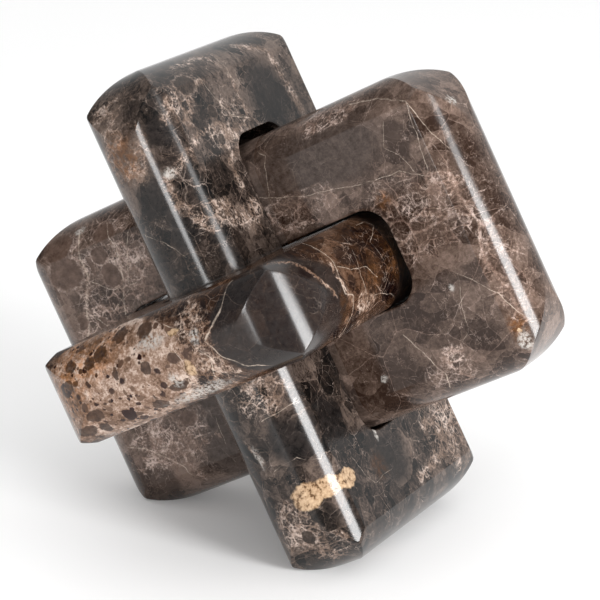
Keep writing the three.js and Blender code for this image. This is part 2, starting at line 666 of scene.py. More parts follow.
# Half the width of a crack in mm: at least, more where it varies, more again in a belt
CRACK_LEAST, CRACK_MORE, CRACK_IN_BELT = 0.07, 0.06, 0.028

# The least strength of a crack that fades, and the least of one in a belt
FAINT_CRACK, BELT_CRACK = 0.15, 0.6

# The shares of the coarse, the middling and the fine grains in the grit
COARSE, MIDDLING, FINE = 0.35, 0.3, 0.35


def ground(cut, flow, shades, tones, deep):
    cloud = noise(vector(cut, "MULTIPLY", cut, flow), size=6.0, detail=6.0, rough=0.65)
    grains = noise(cut, size=1.1, detail=4.0, rough=0.8)
    tone = 0.5 + CLOUD_SHADE * (cloud - 0.5) + GRAIN_SHADE * (grains - 0.5)
    for share, shard in zip(FRAGMENT_SHADES, tones):
        tone = tone + share * (shard - 0.5)
    tone = tone - DEEP_SHADE * deep
    dark, middle, light = shades
    return tint(tone, (0.2, dark), (0.5, middle), (0.85, light))


def crack(cut, edge, size, belt):
    vary = ease(noise(cut, size, detail=3.0), 0.38, 0.66)
    width = CRACK_LEAST + vary * (CRACK_MORE + CRACK_IN_BELT * size * belt)
    strength = (FAINT_CRACK + (1.0 - FAINT_CRACK) * vary).most(belt * BELT_CRACK)
    return ease(edge / width, 1.0, 0.2) * strength


def grit(cut, shades):
    low, middle, high = shades
    coarse = noise(cut, size=7.0, detail=3.0)
    middling = noise(cut, size=2.2, detail=3.0)
    fine = noise(cut, size=0.6, detail=3.0, rough=0.8)
    grains = COARSE * coarse + MIDDLING * middling + FINE * fine
    return tint(grains, (0.4, low), (0.5, middle), (0.6, high))


print("fragments of", [size for size, *clear in CRACKS], "mm")

# %% [markdown]
# Where a noise passes through its middle value it draws a line that wanders on without an end,
# and a narrow band round that value is a thread. Threads run over the ground as single hairs.
# Lace is a net of such threads and of the seams of very small fragments, filled with grit that
# thins out to single grains.

# %% Threads and lace
# What an amount of lace is made of: an even haze, the net, the streaks and the single grains
LACE_HAZE, LACE_NET, LACE_STREAKS, LACE_GRAINS = 0.24, 0.55, 1.8, 1.4
THIN_COVER, CORE_COVER = 0.3, 0.6


def thread(cut, size, width):
    level = noise(cut, size, detail=5.0, rough=0.62) - 0.5
    return ease(level.absolute(), width, 0.0)


def lace(cut, cover):
    streak = noise(cut, size=4.6, detail=7.0, rough=0.68) - 0.5
    seams = ease(fragments(cut, 2.6)[1], 0.3, 0.0)
    net = seams.most(thread(cut, size=3.6, width=0.02))
    grains = noise(cut, size=0.6, detail=3.0, rough=0.8) - 0.5
    amount = cover * (LACE_HAZE + LACE_NET * net + LACE_STREAKS * streak + LACE_GRAINS * grains)
    return THIN_COVER * ease(amount, 0.0, 0.5) + CORE_COVER * ease(amount, 0.22, 0.72)


print("lace: a thin veil of grit and a denser core")

# %% [markdown]
# What the eye picks out in the photograph is listed with its place, in millimetres along, across
# and through the slab. Zones and single fragments are soft balls. The places are stirred before
# they are measured, which gives every border its natural wander.

# %% Zones


def nearest(place, patches):
    far = None
    for centre, size in patches:
        size = size if isinstance(size, tuple) else (size, size, size)
        away = vector(place, "DIVIDE", vector(place, "SUBTRACT", place, centre), size)
        own = vector(place, "LENGTH", away)
        far = own if far is None else far.least(own)
    return far


def zone(place, patches, soft):
    return ease(nearest(place, patches), 1.0 + soft, 1.0 - soft)


print("a zone is 1 inside, 0 outside")

# %% [markdown]
# Streams of lace and bright veins are lines from point to point. A vein is a thin sheet in the
# stone, so its distance is measured with the direction through the visible surface almost left
# out: it then goes on into the stone, as a real one does. `core` is the share of a line's width
# that has its full strength.

# %% Drawn veins


def to_segment(place, start, end):
    along = end - start
    away = vector(place, "SUBTRACT", place, start)
    share = (vector(place, "DOT_PRODUCT", away, along) / along.length_squared).clamp()
    scale = {"operation": "SCALE"}
    foot = share.node("ShaderNodeVectorMath", scale, {"Vector": along, "Scale": share})
    return vector(place, "DISTANCE", away, foot)


# How much of each direction counts in the distance to a vein that is seen along x, y or z
SHEETS = {
    "x": Vector((0.12, 1, 1)),
    "y": Vector((1, 0.12, 1)),
    "z": Vector((1, 1, 0.12)),
    "all": Vector((1, 1, 1)),
}


def drawn(place, lines, core=0.2):
    whole = None
    flat = {axis: vector(place, "MULTIPLY", place, squeeze) for axis, squeeze in SHEETS.items()}
    for axis, width, points in lines:
        points = [Vector(point) * SHEETS[axis] for point in points]
        for start, end in zip(points, points[1:]):
            near = ease(to_segment(flat[axis], start, end), width, core * width)
            whole = near if whole is None else whole.most(near)
    return whole


print("veins are sheets seen along:", list(SHEETS))

# %% [markdown]
# Each slab has its own look. Its shades run from dark to light. `seed` moves the slab to another
# place in the endless patterns, so that no two slabs are alike, and `flow` stretches its clouds.
# `calm edge` says how soft the borders of its calm zones are, and `vein share` how strongly its
# veins show. Everything else has a place, in millimetres of that slab: a zone or a round piece has
# a centre and a size, and a stream of lace or a vein has the axis that it is seen along, a width
# and its points.

# %% Tell what a look holds


def tell(name, look, *keys):
    print(name + ":", ", ".join(f"{len(look[key])} {key}" for key in keys))


# %% [markdown]
# The closed slab is mid brown. Belts of small pieces cross its right half, a calm darker band lies
# above them, and its left end shows large round pieces in a pinkish net.

# %% Colours of the closed slab
CLOSED_LOOK = {
    "seed": (0.0, 0.0, 0.0),
    "flow": (0.8, 1.0, 1.0),
    "ground": (seen(52, 43, 39), seen(82, 69, 62), seen(116, 99, 90)),
    "grit": (seen(102, 83, 74), seen(136, 115, 104), seen(196, 176, 166)),
    "clast": (seen(62, 48, 41), seen(104, 86, 77)),
    "calm shade": (seen(50, 43, 40), seen(84, 74, 69)),
    "calm edge": 0.35,
    "vein share": 0.75,
}
tell("closed slab", CLOSED_LOOK, "ground", "grit", "clast")

# %% [markdown]
# Most of the closed slab's zones are on its visible faces. Those on its far sides, which the
# photograph doesn't show, were made up in the same manner.

# %% Zones of the closed slab
CLOSED_LOOK |= {
    "belts": [
        ((44, 6, 11), (18, 11, 16)),
        ((17, 18, 11), (14, 5, 8)),
        ((60, -14, 8), (4, 14, 8)),
        ((38, -31, 10), (8, 4, 12)),
        ((38, 37, 6), (10, 4, 6)),
        ((-38, 24, 11), (13, 14, 16)),
        ((-42, -20, 11), (12, 8, 10)),
        ((-34, 20, -11), (18, 9, 7)),
        ((40, -18, -11), (14, 12, 7)),
        ((6, -30, -11), (14, 6, 7)),
    ],
    "lace": [
        ((56, 10, 9), (4, 5, 5)),
        ((33, 35, 8), (9, 3, 4)),
        ((40, -28, 11), (3, 3, 4)),
        ((-33, 21, 11), (6, 9, 6)),
        ((-47, 12, 11), (8, 4, 6)),
        ((-43, -23, 11), (11, 6, 7)),
        ((-38, 22, -11), (9, 6, 4)),
        ((44, -22, -11), (8, 6, 4)),
        ((52, 24, -11), (5, 7, 4)),
    ],
    "calm": [
        ((28, 27, 11), (20, 8, 14)),
        ((-27, -25, 11), (9, 11, 8)),
    ],
    "deep": [((47, -31, 11), (10, 6, 7)), ((20, -29, 11), (12, 7, 7)), ((62, 8, 4), (3, 14, 7))],
    "dark": [
        ((55, -12, 11), (4, 3, 5)),
        ((24, -26, 11), (6, 5, 8)),
        ((-55, -31, 8), (9, 7, 12)),
        ((50, 24, 11), (3, 5, 5)),
    ],
    "rust": [((40, 12, 11.6), 2.0), ((58, -27, 10), (2, 3, 3))],
    "honey": [((58, -28, 10), (0.5, 0.7, 0.8))],
    "frost": [
        ((58.4, -31, 10.4), (1.3, 2.4, 2)),
        ((-44, 35, 8), (1.8, 0.9, 1.5)),
        ((63, 27, 3), (0.8, 1.2, 1.8)),
        ((20.6, -27, 11.6), (1.0, 0.8, 1)),
        ((47, -13, 11.6), (0.8, 0.8, 1)),
    ],
}
tell("closed slab", CLOSED_LOOK, "belts", "lace", "calm", "deep", "dark", "rust", "honey", "frost")

# %% [markdown]
# Three thin pale lines fan out from the corner where the flat face's creases meet and keep close
# to them. Elsewhere thin veins wander between the belts, and two thick ones gather the net at its
# left end.

# %% Round pieces, streams and veins of the closed slab
CLOSED_LOOK |= {
    "clasts": [
        ((-51, 27, 11.6), (4.6, 4.4, 5)),
        ((-51, 33, 9), (4.5, 3.4, 4)),
        ((-36, 32, 10.7), (3.6, 2.4, 4)),
        ((-38.6, 22, 11.6), (2.7, 3.2, 4)),
        ((-39.6, 27.5, 11.6), (2.3, 2.2, 4)),
        ((-43, 26, 11.6), (0.8, 2.6, 3)),
        ((-35.6, -18, 11.6), (2.4, 2.0, 3)),
        ((-47, 12, 11.6), (1.2, 1.4, 2)),
        ((-50, 9, 11.6), (1.1, 0.8, 2)),
        ((-44.6, 9.6, 11.6), (1.0, 1.2, 2)),
        ((-52.6, 14, 11.6), (1.6, 1.8, 2)),
    ],
    "streams": [
        ("all", 1.8, [(-44, 33, 10), (-45.5, 24, 11.6), (-50, 16, 11.6), (-54, 10, 11.6)]),
        ("all", 3.0, [(-31, 32, 10.7), (-33, 24, 11.6), (-40, 17, 11.6)]),
        ("all", 2.8, [(-43, -19, 11.6), (-41, -27, 11.6), (-40, -33, 10)]),
        ("all", 2.2, [(-52, -14, 11.6), (-44, -21, 11.6), (-35, -24, 11.6)]),
        ("all", 1.6, [(56, 10, 11), (52, 4, 11.6), (46, 6, 11.6), (40, 14, 11.6)]),
        ("all", 1.2, [(9, 22, 11.6), (12, 15, 11.6), (22, 14, 11.6)]),
        ("all", 2.0, [(-60, 2, -11.6), (-50, 8, -11.6), (-44, 20, -11.6), (-30, 30, -11.6)]),
        ("all", 1.8, [(60, -4, -11.6), (48, -10, -11.6), (42, -24, -11.6), (30, -34, -11)]),
    ],
    "veins": [
        ("z", 0.16, [(8, 25, 12), (23, 20, 12), (39, 17.5, 12), (47, 17, 12), (54, 13, 12)]),
        ("z", 0.13, [(49, 29, 12), (46, 23, 12), (49, 20, 12), (51, 15, 12)]),
        ("z", 0.15, [(9, 37, 4), (15, 33, 10), (14, 29, 12), (12, 24, 12)]),
        # These three pale lines start at the corner where the flat face's creases meet and run
        # close to the creases and bows
        ("z", 0.14, [(56, 31, 11.4), (54, 13, 11.6)]),
        ("z", 0.14, [(56, 31, 11.4), (60, 17, 9)]),
        ("z", 0.16, [(56, 31, 11.4), (49, 34, 9), (40, 36, 7)]),
        ("z", 0.12, [(50, -10, 12), (57, -18, 11.4), (60, -25, 9)]),
        ("z", 0.20, [(30, -19, 12), (34, -27, 12), (36, -31, 12), (34, -35, 8)]),
        ("z", 0.11, [(36, -31, 12), (40, -28, 12), (46, -24, 12), (50, -10, 12)]),
        ("z", 0.24, [(-56, -19, 12), (-50, -22, 12), (-43, -29, 12), (-41, -35, 7)]),
        ("z", 0.12, [(-28, -20, 12), (-29, -33, 10)]),
        ("z", 0.16, [(-29, 30, 12), (-36, 17, 12), (-42, 14, 12)]),
        ("z", 0.45, [(-44, 35, 9), (-45.5, 24, 12), (-50, 16, 12), (-53, 10, 12), (-55, -2, 12)]),
        ("z", 0.30, [(-35, 34, 10), (-34, 27, 12), (-36, 20, 12), (-40, 12, 12)]),
        ("z", 0.20, [(-46, 23, 12), (-40, 18.5, 12), (-33, 18, 12)]),
        ("z", 0.20, [(-50, 16, 12), (-45, 9, 12), (-46, 2, 12)]),
        ("z", 0.14, [(-58, -20, -12), (-46, -14, -12), (-40, -28, -12), (-28, -36, -10)]),
        ("z", 0.14, [(56, 28, -12), (46, 14, -12), (50, 2, -12), (44, -10, -12)]),
        ("z", 0.12, [(20, 30, -12), (4, 22, -12), (-12, 26, -12), (-30, 18, -12)]),
    ],
}
tell("closed slab", CLOSED_LOOK, "clasts", "streams", "veins")

# %% [markdown]
# The key slab is the most colourful one. Its left end is packed with dark pebbles in a tan and
# grey ground, its front corner is nearly black, and a rusty brown lies right of that. A size of
# pebbles comes with the least and the most radius that one may draw, as shares of its cell.

# %% Colours of the key slab
KEY_LOOK = {
    "seed": (31.0, 7.0, 3.0),
    "flow": (1.0, 0.8, 0.4),
    "ground": (seen(36, 28, 24), seen(62, 47, 39), seen(106, 83, 69)),
    "grit": (seen(80, 60, 47), seen(131, 107, 92), seen(193, 174, 161)),
    "pebble": (seen(46, 34, 27), seen(100, 80, 68)),
    "clast": (seen(38, 28, 22), seen(78, 61, 51)),
    "calm shade": (seen(39, 37, 37), seen(52, 49, 48)),
    "calm edge": 0.06,
    "vein share": 0.85,
}
tell("key slab", KEY_LOOK, "ground", "grit", "clast")

# %% [markdown]
# Most of the key slab's zones are on its visible faces. Those on its far sides, which the
# photograph doesn't show, were made up in the same manner.

# %% Zones of the key slab
KEY_LOOK |= {
    "belts": [((60, 10, -3), (8, 6, 12)), ((-62, 2, 0), (8, 22, 9))],
    "pebbly": [((62, -14, 0), (18, 22, 14))],
    "lace": [
        ((60, -2, -9), (6, 12, 3)),
        ((30, 37, -7), (6, 4, 3)),
        ((61, 11, 1), (6, 5, 11)),
        ((-61, -16, 4), (6, 8, 6)),
        ((-61, 18, -4), (6, 8, 6)),
        ((30, -37, 0), (12, 4, 7)),
        ((34, 24, -11), (10, 8, 4)),
    ],
    "calm": [((61, 31.5, -0.5), (25, 16.5, 12.5))],
    "deep": [((24, 37, 2), (14, 5, 9)), ((-40, -37, 0), (12, 5, 9))],
    "dark": [
        ((31, 37, 5), (4, 3, 3)),
        ((15, 37, 3), (3, 3, 2)),
        ((35, 37, -1), (2, 3, 1.6)),
        ((49, 37, 6), (3, 3, 2)),
        ((22, 37, 6), (2, 3, 1.5)),
        ((19, 37, -6), (3, 3, 2.4)),
        ((61.7, 15, 7.5), (3, 1.0, 3.0)),
    ],
    "rust": [
        ((60, -20, 8), (8, 10, 6)),
        ((63, -28, 2), (6, 7, 7)),
        ((24, 38, -1.5), (3, 3, 4)),
        ((41, 37, -6), (2, 3, 4)),
        ((12, 38, -1), (5, 3, 6)),
    ],
    "honey": [((63.5, 6.8, -3.2), (2, 1.6, 2.2)), ((63, 6, 6), (2, 1.6, 0.8))],
    "frost": [
        ((62.5, -1, 5.5), (3, 4.2, 1.4)),
        ((63, 1.7, -4.6), (3, 1.4, 1.6)),
        ((63.7, 11.6, 3), (3, 1.3, 1.8)),
        ((59, 4, -9.4), (4, 8, 1.4)),
    ],
}
tell("key slab", KEY_LOOK, "belts", "lace", "calm", "deep", "dark", "rust", "honey", "frost")

# %% [markdown]
# Pale veins frame its dark corner on both sides, and thin ones craze the rusty part.

# %% Round pieces, streams and veins of the key slab
KEY_LOOK |= {
    "pebble sizes": ((4.4, -0.25, 0.52), (2.3, -0.15, 0.5), (1.1, -0.25, 0.45)),
    "clasts": [
        ((60.8, -2, 8.6), (3, 2.3, 2.0)),
        ((61.5, -24.4, 7.6), (3, 1.4, 1.4)),
        ((62.8, -23, -5.2), (3, 2.4, 1.6)),
        ((61, -28, -8), (3, 2.8, 1.5)),
        ((60.5, -6.6, -8.5), (3, 2.2, 1.4)),
        ((62.5, 1.2, -6), (3, 2.6, 1.2)),
        ((64, -3.6, 0.6), (3, 1.6, 1.5)),
        ((59, -9.4, 10), (3, 2, 1.2)),
        ((60, -23.4, -8.6), (3, 1.4, 1.4)),
        ((61.4, -15.5, 7.4), (3, 2.0, 1.7)),
        ((62, -19, 6.6), (3, 1.7, 1.4)),
        ((60, -9.8, 9.2), (3, 2.0, 0.9)),
        ((63.4, -12.2, 2.2), (3, 0.8, 1.3)),
        ((62.8, -26, 3.6), (3, 1.2, 1.5)),
    ],
    "streams": [
        ("all", 1.4, [(56, 31, 11.6), (50, 34, 9.6), (48, 37, 5), (47, 38, 2), (44, 38, -2)]),
        ("all", 1.4, [(38, 36, 9), (40, 38, 2), (37, 37, -6)]),
        ("all", 1.6, [(61, 12, 8), (63, 11, 2), (63, 13, -4), (61, 17, -8)]),
        ("all", 1.8, [(-62, -30, -6), (-64, -18, 2), (-64, -4, -4), (-63, 10, 6)]),
        ("all", 2.0, [(56, -8, -11.6), (44, 6, -11.6), (46, 22, -11.6)]),
    ],
    "veins": [
        ("x", 0.30, [(50, 27, 12), (58, 22, 10), (62, 20, 6), (64, 14, 1)]),
        ("x", 0.24, [(64, 14, 1), (63, 16, -4), (62, 19, -7), (60, 24, -10)]),
        ("x", 0.20, [(64, 10, 2.5), (64, 13, -3), (62, 11, -7), (59, 11, -10)]),
        ("x", 0.14, [(61, 4, 8), (62, 8, 6), (59, 10, 10)]),
        ("x", 0.14, [(64, 5, 3), (64, 6, -1), (62, 4, -7)]),
        ("y", 0.26, [(36, 29, 12), (37, 34, 9.5), (37, 37, 5.6)]),
        ("y", 0.26, [(37, 37, 5.6), (39.5, 38, 0.4), (39.6, 38, -2.5)]),
        ("y", 0.20, [(39.6, 38, -2.5), (36, 37, -4), (36.6, 35, -8.3), (38, 31, -11)]),
        ("y", 0.15, [(37, 38, 3.4), (33, 38, 1.5), (26, 38, 0.3), (23, 38, -3)]),
        ("y", 0.12, [(24, 34, 9), (28, 37, 4), (30, 38, -1), (29, 37, -5), (31.6, 35, -8)]),
        ("y", 0.1, [(15, 34, 9.2), (11, 34, 9.6), (10, 35, 7.8), (18, 37, 4.6), (17.6, 38, 0)]),
        ("y", 0.12, [(25, 36, -6.5), (19, 36, -7.5), (13, 34, -9)]),
        ("x", 0.2, [(-61, 30, 8), (-64, 20, 0), (-63, 6, -6), (-60, -4, -10)]),
        ("z", 0.16, [(58, -4, 12), (46, 4, 12), (44, 20, 12), (30, 30, 12)]),
    ],
}
tell("key slab", KEY_LOOK, "clasts", "streams", "veins")

# %% [markdown]
# The gate slab is the darkest. Tan lace streams over its upper half, and an ochre patch crosses
# its lower edge.

# %% Colours of the gate slab
GATE_LOOK = {
    "seed": (5.0, 43.0, 17.0),
    "flow": (0.7, 1.0, 1.0),
    "ground": (seen(29, 26, 25), seen(56, 50, 47), seen(98, 86, 79)),
    "grit": (seen(86, 72, 63), seen(125, 107, 96), seen(190, 172, 161)),
    "clast": (seen(34, 31, 29), seen(62, 54, 49)),
    "calm shade": (seen(31, 30, 30), seen(50, 47, 46)),
    "calm edge": 0.35,
    "vein share": 0.7,
}
tell("gate slab", GATE_LOOK, "ground", "grit", "clast")

# %% [markdown]
# Most of the gate slab's zones are on its visible faces. Those on its far sides, which the
# photograph doesn't show, were made up in the same manner.

# %% Zones of the gate slab
GATE_LOOK |= {
    "belts": [
        ((40, 6, 11), (10, 9, 9)),
        ((-48, -24, 11), (12, 12, 9)),
        ((-50, 38, -2), (8, 5, 6)),
        ((-56, 33, 3), (5, 6, 6)),
    ],
    "lace": [
        ((46, 38, -3), (8, 5, 7)),
        ((-17, 36, 5), (5, 5, 6)),
        ((60, 36, -3), (5, 4, 6)),
        ((25, 31, 11), (3.5, 7, 5)),
        ((22, 20, 11), (4, 6, 4)),
        ((41, 16, 11), (3, 5, 4)),
        ((52, 27, 11), (4, 6, 4)),
        ((-47, -25, 11), (8, 7, 6)),
        ((-50, 38, -2), (6, 4, 6)),
        ((50, -36, 2), (8, 5, 6)),
        ((-44, -36, -3), (8, 5, 6)),
        ((47, 12, -11), (8, 11, 4)),
        ((-44, -12, -11), (8, 12, 4)),
        ((-58, 33, 1), (3, 5, 3)),
    ],
    "calm": [
        ((47, -12, 11), (8, 8, 8)),
        ((48, 35, 8), (4, 3.4, 4)),
        ((34, 38, 1), (5, 3, 5)),
        ((25, 37, 4), (5, 3, 4)),
        ((-30, 36, 6), (6, 4, 6)),
        ((-30, 25, 11.6), (7, 6, 4)),
        ((-46, 7, 11.6), (7, 8, 5)),
    ],
    "deep": [((-34, 24, 11), (12, 8, 6)), ((-60, -10, 4), (4, 20, 8))],
    "dark": [((-50, 37, 6), (5, 4, 4)), ((33, 31, 11), (3, 3, 3))],
    "rust": [((46, 38, -3), (5, 5, 5)), ((-46, 13, 11), (3, 3, 3))],
    "honey": [
        ((-43.4, 37, 4.8), (3.2, 3, 4.2)),
        ((-43.4, 33.6, 8.8), (2.5, 4, 4.2)),
        ((-43.7, 28.6, 11.6), (2.3, 4.0, 3)),
    ],
    "frost": [
        ((-38.6, 8.7, 11.6), (1.6, 0.8, 2)),
        # This white patch at the top of the bowed edge is partly a painted glow of the highlight
        # there
        ((38.5, 36, 6.5), (1.3, 1.3, 1.4)),
        ((-22, 33, 10.3), (0.8, 0.8, 1)),
        ((-31, 38, -3), (2.6, 2, 0.8)),
    ],
}
tell("gate slab", GATE_LOOK, "belts", "lace", "calm", "deep", "dark", "rust", "honey", "frost")

# %% [markdown]
# Its streams of lace branch like smoke, most of them over its upper half. Its veins are few.

# %% Round pieces, streams and veins of the gate slab
GATE_LOOK |= {
    "clasts": [
        ((56, 21.5, 11), (2.6, 4.5, 3)),
        ((47.5, 15.4, 11.6), (1.6, 1.8, 3)),
        ((40.7, 16.8, 11.6), (1.3, 1.6, 3)),
        ((-53, 37, 0), (2, 2, 1.6)),
    ],
    "streams": [
        ("all", 2.0, [(61, 18, 8), (61, 4, 8), (58, 3, 10), (52, 1, 11.6), (43, 1, 11.6)]),
        ("all", 1.9, [(43, 1, 11.6), (41, 9, 11.6), (37, 12, 11.6)]),
        ("all", 2.0, [(37, 12, 11.6), (35, 18, 11.6), (29, 17, 11.6)]),
        ("all", 1.5, [(57, 32, 10), (56, 23, 11.6), (55, 13, 11.6)]),
        ("all", 2.6, [(54, 31, 11), (47, 27, 11.6), (44, 25, 11.6), (41, 32, 11)]),
        ("all", 1.8, [(44, 25, 11.6), (44.6, 16, 11.6), (41, 9, 11.6)]),
        ("all", 2.8, [(41, 32, 11), (37, 37, 5), (31, 37, 5.5), (25, 33, 10), (22, 27, 11.6)]),
        ("all", 2.4, [(23, 25, 11.6), (18, 20, 11.6)]),
        ("all", 3.0, [(60, -12, 8.5), (57, -20, 10.6), (50, -22, 11.6), (40, -24, 11.6)]),
        ("all", 3.4, [(-44, -14, 11.6), (-45, -25, 11.6), (-51, -23, 11.6), (-52, -12, 11.6)]),
        ("all", 3.0, [(-58, -24, 10), (-52, -23, 11.6), (-54, -2, 11.6)]),
        ("all", 1.2, [(-27, 37, -4.5), (-32, 38, -2.4)]),
        ("all", 2.2, [(62, -10, -8), (50, -4, -11.6), (44, 10, -11.6), (46, 26, -11.6)]),
        ("all", 2.2, [(-60, 20, -8), (-48, 14, -11.6), (-44, 0, -11.6), (-52, -14, -11)]),
        ("all", 2.4, [(-44, 37.6, -3.4), (-49, 37.6, -3.4), (-53, 37, -3.3), (-58, 34, 2)]),
    ],
    "veins": [
        ("z", 0.16, [(61, 0, 8), (58, 1, 10.5), (54, 1, 12), (51, -1, 12)]),
        ("z", 0.15, [(58, -28, -11), (48, -16, -12), (52, 2, -12)]),
        ("y", 0.15, [(60, -34, 4), (48, -38, 0), (36, -37, 5), (22, -38, -4)]),
        ("z", 0.16, [(58, 15, 10.4), (51, 12, 12), (45, 8, 12), (43, 1, 12)]),
        ("y", 0.14, [(28, 36, -7), (24, 38, -1), (19, 38, 2.5)]),
        ("y", 0.18, [(-23, 38, 2.6), (-22.6, 36, 7), (-22, 32.6, 10.3)]),
        ("z", 0.12, [(-40, 23, 12), (-46, 20.5, 12), (-48.6, 18, 12), (-48, 8, 12)]),
        ("y", 0.12, [(-35, 38, 0), (-34, 36, 6), (-37, 33, 10), (-35, 30, 11)]),
    ],
}
tell("gate slab", GATE_LOOK, "clasts", "streams", "veins")

# %% [markdown]
# A marble is laid down in the order the stone grew. First comes the healed rock: the ground, its
# calm and dark parts, the cracks, the hairs and the lace. `worn` breaks every pale line into
# grains. A belt or a patch of lace has no clean border, so `rough_zone` frays a zone with noise.

# %% The healed rock
# How much of what lies below a layer hides at most
CALM_COVER, DARK_COVER, HAIR_COVER = 0.9, 0.75, 0.4

# How much of the cracks and of the hairs is missing in a calm zone
CRACKS_LOST, HAIRS_LOST = 0.7, 0.85

# How much lace a belt has, and how deep its shade is
BELT_LACE, BELT_DEPTH = 0.42, 0.5


def rough_zone(here, cut, patches, soft=0.5, ragged=0.9, low=0.38, high=0.6):
    ragged_edge = ragged * (noise(cut, size=4.0, detail=4.0) - 0.5)
    return ease(zone(here, patches, soft) + ragged_edge, low, high)


def healed_rock(here, torn, cut, look, pale, worn):
    calm = zone(here, look["calm"], look["calm edge"])
    belt = rough_zone(here, cut, look["belts"])
    tones, cracks = [], None
    for size, outside, inside in CRACKS:
        tone, edge = fragments(cut, size)
        tones.append(tone)
        line = crack(cut, edge, size, belt) * (outside + (inside - outside) * belt)
        cracks = line if cracks is None else cracks.most(line)

    deep = zone(here, look["deep"], 0.6) + BELT_DEPTH * belt
    color = ground(cut, look["flow"], look["ground"], tones, deep)
    speck = noise(cut, size=1.4, detail=6.0, rough=0.75)
    smooth = tint(speck, *zip((0.34, 0.66), look["calm shade"]))
    color = mix(calm * CALM_COVER, color, smooth)
    color = mix(zone(torn, look["dark"], 0.2) * DARK_COVER, color, look["ground"][0])
    color = mix(cracks * worn * (1.0 - CRACKS_LOST * calm), color, pale)
    tangle = rough_zone(here, cut, look["lace"], soft=0.75, ragged=2.0, low=0.15, high=0.85)
    cover = tangle.most(drawn(here, look["streams"], core=0.0))
    hair = thread(cut, size=11.0, width=0.008) * worn
    color = mix(hair * HAIR_COVER * (1.0 - HAIRS_LOST * calm), color, pale)
    return mix(lace(cut, cover.most(belt * BELT_LACE)), color, pale)


print("healed rock:", len(CRACKS), "sizes of fragments under lace")

# %% [markdown]
# Then come the pebble bed and the single round pieces, each with a faint pale rim.

# %% Pebbles and round pieces
PEBBLE_GRAIN = 0.8
PIECE_COVER, PALE_RIM_COVER = 0.9, 0.35


def pebble_bed(cut, pale, look):
    bed, (dark, light) = pale, look["pebble"]
    crowd = ease(noise(cut, size=9.0, detail=1.0), 0.35, 0.55)
    for size, least, most in look["pebble sizes"]:
        pebble, tone = pebbles(cut, size, least, most, crowd)
        tone = tone + PEBBLE_GRAIN * (noise(cut, size=1.2, detail=4.0, rough=0.7) - 0.5)
        bed = mix(pebble, bed, tint(tone, (0.2, dark), (0.9, light)))
    return bed


def round_pieces(here, torn, cut, look, color, pale, worn):
    if "pebbly" in look:
        bed = pebble_bed(cut, pale, look)
        color = mix(rough_zone(here, cut, look["pebbly"]), color, bed)
    cloud = noise(cut, size=2.0, detail=5.0, rough=0.7)
    shade = tint(cloud, *zip((0.3, 0.7), look["clast"]))
    far = nearest(torn, look["clasts"])
    color = mix(ease(far, 1.26, 1.08) * worn * PALE_RIM_COVER, color, pale)
    return mix(ease(far, 1.08, 0.92) * PIECE_COVER, color, shade)


print("pebble sizes of the key slab:", [size for size, *radii in KEY_LOOK["pebble sizes"]], "mm")

# %% [markdown]
# Last come what water brought in: rust that stains the stone without hiding it, the bright veins,
# and fillings of ochre and of white. One small white patch on the gate slab is partly a painted
# glow of the highlight on its bowed edge.

# %% Rust, veins and fillings
RUST_TINT, RUST_COVER, FROST_AND_GLOW_COVER = 0.8, 0.25, 0.75


def fillings(here, torn, cut, look, color, worn):
    stain = ease(noise(cut, size=1.6, detail=5.0, rough=0.7), 0.36, 0.62)
    rust = zone(here, look["rust"], 0.6) * stain
    stained = mix(rust * RUST_TINT, color, RUST, "COLOR")
    color = mix(rust * RUST_COVER, stained, RUST)
    fade = ease(noise(cut, size=2.4, detail=3.0), 0.34, 0.62, start=0.15, end=0.8)
    wander = stir(here, size=2.2, reach=0.35, detail=3.0, rough=0.5)
    veins = drawn(wander, look["veins"]) * fade * worn * look["vein share"]
    color = mix(veins, color, CREAM)
    crumbs = noise(cut, size=1.1, detail=5.0, rough=0.7)
    honey = tint(crumbs, *zip((0.39, 0.46, 0.64), HONEY))
    color = mix(zone(torn, look["honey"], 0.12), color, honey)
    crystals = ease(noise(cut, size=0.8, detail=4.0, rough=0.7), 0.4, 0.58)
    # White fillings; one patch on the gate slab is partly a painted glow of a highlight
    frost = zone(torn, look["frost"], 0.5) * crystals
    return mix(frost * FROST_AND_GLOW_COVER, color, FROST_AND_GLOW)


print("fillings: rust, veins, honey and frost")

# %% [markdown]
# The polish is even, except where a slab lies inside its neighbour's slot. There, within 12 mm of
# its middle, the slabs rub on each other and the polish is dull.

# %% One marble from its look
# Roughness of the polish, how much it clouds, and how much the rubbing adds
POLISH, CLOUDING, RUBBED = 0.12, 0.03, 0.5
RUBBED_REACH = 12.0
REFLECTANCE = 0.3


def marble(name, place, look):
    stone = bpy.data.materials.new(name)
    stone.use_nodes = True
    tree = stone.node_tree
    shader = tree.nodes["Principled BSDF"]
    still = stone_place(tree, place)
    here = stir(still, size=5.0, reach=0.7, detail=2.0, rough=0.3)
    torn = stir(here, size=1.6, reach=1.0, detail=4.0, rough=0.6)
    cut = vector(here, "ADD", here, look["seed"])
    pale = grit(cut, look["grit"])
    worn = ease(noise(cut, size=0.5, detail=2.0, rough=0.8), 0.36, 0.56, start=0.3)
    color = healed_rock(here, torn, cut, look, pale, worn)
    color = round_pieces(here, torn, cut, look, color, pale, worn)
    color = fillings(here, torn, cut, look, color, worn)
    tree.links.new(color.socket, shader.inputs["Base Color"])

    along = still.node("ShaderNodeSeparateXYZ", None, {0: still}, 0)
    rubbed = ease(along.absolute(), RUBBED_REACH, RUBBED_REACH - 1.0)
    haze = noise(cut, size=3.0, detail=4.0, rough=0.7)
    polish = POLISH + CLOUDING * haze + RUBBED * rubbed
    tree.links.new(polish.socket, shader.inputs["Roughness"])
    shader.inputs["Specular IOR Level"].default_value = REFLECTANCE
    return stone


